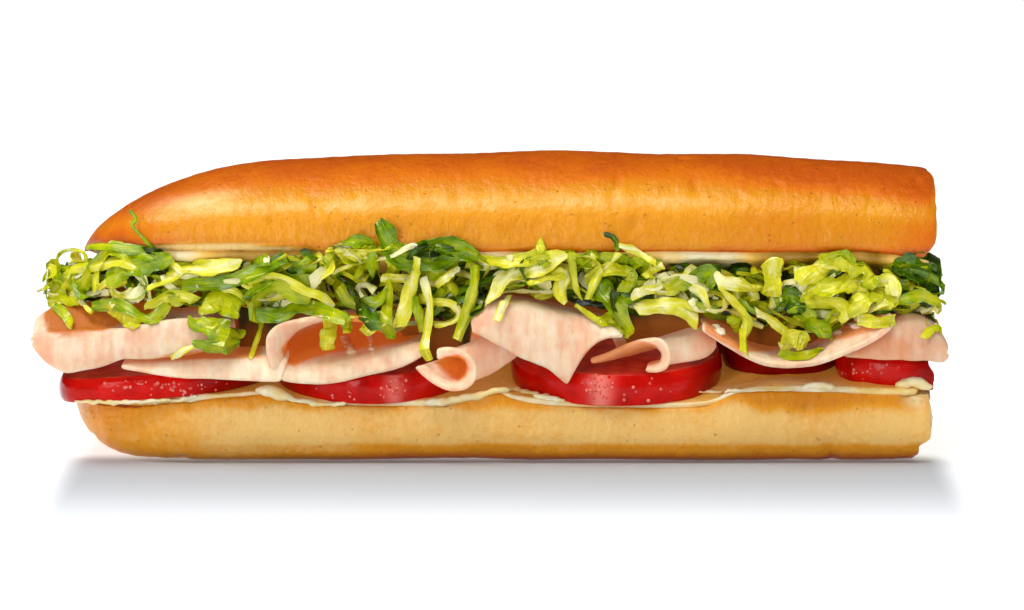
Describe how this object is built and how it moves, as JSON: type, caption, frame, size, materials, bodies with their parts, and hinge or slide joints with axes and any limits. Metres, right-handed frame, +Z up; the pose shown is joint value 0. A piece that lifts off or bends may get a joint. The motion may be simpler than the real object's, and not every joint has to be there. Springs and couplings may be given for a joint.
{
  "type": "submarine sandwich",
  "caption": "Split soft roll, round at one end and cut at the other, filled with tomato slices, folded turkey slices, shredded lettuce and mayonnaise.",
  "frame": {"origin": "centre of the roll's flat underside", "axes": "+X along the length towards the cut end, -Y towards the side that gapes and shows most filling, +Z up"},
  "size_m": [0.2243, 0.0834, 0.0725],
  "materials": {
    "crust": "baked bread crust, golden brown, softly glossy on top",
    "mayonnaise": "wet pale cream",
    "tomato": "wet red tomato skin and flesh",
    "turkey": "moist pale pink-beige sliced turkey",
    "lettuce": "crisp shredded lettuce, pale to mid green"
  },
  "bodies": {
    "root": {"roll_bottom": "crust", "roll_top": "crust", "mayonnaise_bottom": "mayonnaise", "mayonnaise_top": "mayonnaise", "tomato_slice_1": "tomato", "tomato_slice_2": "tomato", "tomato_slice_3": "tomato", "tomato_slice_4": "tomato", "tomato_slice_5": "tomato", "tomato_slice_6": "tomato", "tomato_slice_7": "tomato", "tomato_slice_8": "tomato", "turkey_slice_1": "turkey", "turkey_slice_2": "turkey", "turkey_slice_3": "turkey", "turkey_slice_4": "turkey", "turkey_slice_5": "turkey", "turkey_slice_6": "turkey", "turkey_slice_7": "turkey", "turkey_slice_8": "turkey", "lettuce": "lettuce"}
  },
  "joints": []
}
